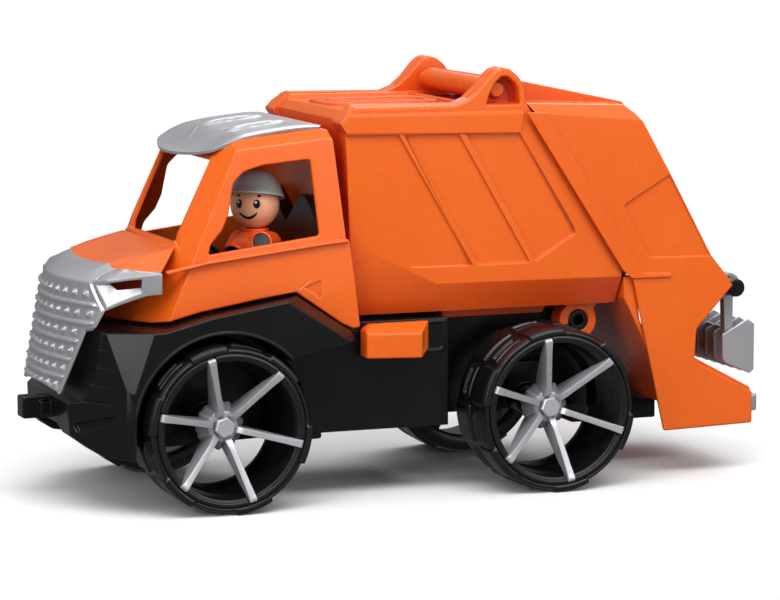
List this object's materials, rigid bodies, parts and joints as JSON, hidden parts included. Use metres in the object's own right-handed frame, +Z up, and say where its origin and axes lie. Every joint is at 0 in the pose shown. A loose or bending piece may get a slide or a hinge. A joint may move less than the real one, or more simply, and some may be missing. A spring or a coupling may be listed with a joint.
{
  "type": "toy garbage truck",
  "caption": "Toy refuse-collection truck with open cab and driver, tipping ribbed container, top-hung tailgate with hopper, swinging bin comb and spoked wheels.",
  "frame": {"origin": "middle of the footprint, on the floor", "axes": "+X towards the front of the truck, +Y to its left, +Z up"},
  "size_m": [0.4096, 0.1744, 0.2288],
  "materials": {
    "orange": "glossy injection moulding, rounded edges",
    "black": "satin injection moulding",
    "silver": "satin metallic-pigment moulding",
    "tyre_black": "glossy hard plastic tyre",
    "wheel_silver": "satin metallic-pigment moulding",
    "steel": "drawn rod",
    "seat_black": "satin moulding",
    "skin": "smooth moulding",
    "cap_grey": "smooth moulding",
    "figure_orange": "smooth moulding"
  },
  "bodies": {
    "truck": {"chassis": "black", "cab_shell": "orange", "roof_panel": "silver", "grille_panel": "silver", "seat_unit": "seat_black", "dashboard": "seat_black", "dashboard_trim": "silver", "steering_wheel": "seat_black", "side_box_left": "orange", "side_box_right": "orange", "front_axle": "steel", "rear_axle": "steel", "axle_push_nuts": "steel", "cab_screws": "steel", "tipping_shaft": "black"},
    "driver": {"driver_torso": "figure_orange", "driver_hands": "seat_black", "driver_head": "skin", "driver_cap": "cap_grey"},
    "refuse_body": {"refuse_body_shell": "orange", "refuse_body_floor": "orange"},
    "gate_hanger": {"gate_hinge_rod": "steel", "gate_rod_caps": "orange"},
    "tailgate": {"tailgate_housing": "orange", "hopper_tray": "orange", "rear_bar": "silver", "lifter_rod": "black"},
    "bin_lifter": {"bin_lifter_comb": "silver"},
    "wheel_front_left": {"wheel_front_left_tyre": "tyre_black", "wheel_front_left_rim": "wheel_silver", "wheel_front_left_hub_cap": "wheel_silver"},
    "wheel_front_right": {"wheel_front_right_tyre": "tyre_black", "wheel_front_right_rim": "wheel_silver", "wheel_front_right_hub_cap": "wheel_silver"},
    "wheel_rear_left": {"wheel_rear_left_tyre": "tyre_black", "wheel_rear_left_rim": "wheel_silver", "wheel_rear_left_hub_cap": "wheel_silver"},
    "wheel_rear_right": {"wheel_rear_right_tyre": "tyre_black", "wheel_rear_right_rim": "wheel_silver", "wheel_rear_right_hub_cap": "wheel_silver"}
  },
  "joints": [
    {"name": "wheel_front_left_spin", "type": "hinge", "parent": "truck", "child": "wheel_front_left", "pos_m": [0.11425, 0, 0.045], "axis": [0, 1, 0], "continuous": true},
    {"name": "wheel_front_right_spin", "type": "hinge", "parent": "truck", "child": "wheel_front_right", "pos_m": [0.11425, 0, 0.045], "axis": [0, 1, 0], "continuous": true},
    {"name": "wheel_rear_left_spin", "type": "hinge", "parent": "truck", "child": "wheel_rear_left", "pos_m": [-0.07175, 0, 0.045], "axis": [0, 1, 0], "continuous": true},
    {"name": "wheel_rear_right_spin", "type": "hinge", "parent": "truck", "child": "wheel_rear_right", "pos_m": [-0.07175, 0, 0.045], "axis": [0, 1, 0], "continuous": true},
    {"name": "driver_turn", "type": "hinge", "parent": "truck", "child": "driver", "pos_m": [0.0815, 0.028, 0.123], "axis": [0, 0, 1], "continuous": true},
    {"name": "body_tip", "type": "hinge", "parent": "truck", "child": "refuse_body", "pos_m": [-0.10125, 0, 0.0872], "axis": [0, -1, 0], "range_deg": [0, 40]},
    {"name": "gate_plumb", "type": "hinge", "parent": "refuse_body", "child": "gate_hanger", "pos_m": [-0.04775, 0, 0.2165], "axis": [0, 1, 0], "range_deg": [0, 40]},
    {"name": "tailgate_open", "type": "hinge", "parent": "gate_hanger", "child": "tailgate", "pos_m": [-0.04775, 0, 0.2165], "axis": [0, 1, 0], "range_deg": [0, 70]},
    {"name": "lifter_swing", "type": "hinge", "parent": "tailgate", "child": "bin_lifter", "pos_m": [-0.19, 0, 0.103], "axis": [0, 1, 0], "range_deg": [0, 110]}
  ],
  "couplings": [
    {"joint": "gate_plumb", "follows": "body_tip", "ratio": 1}
  ]
}
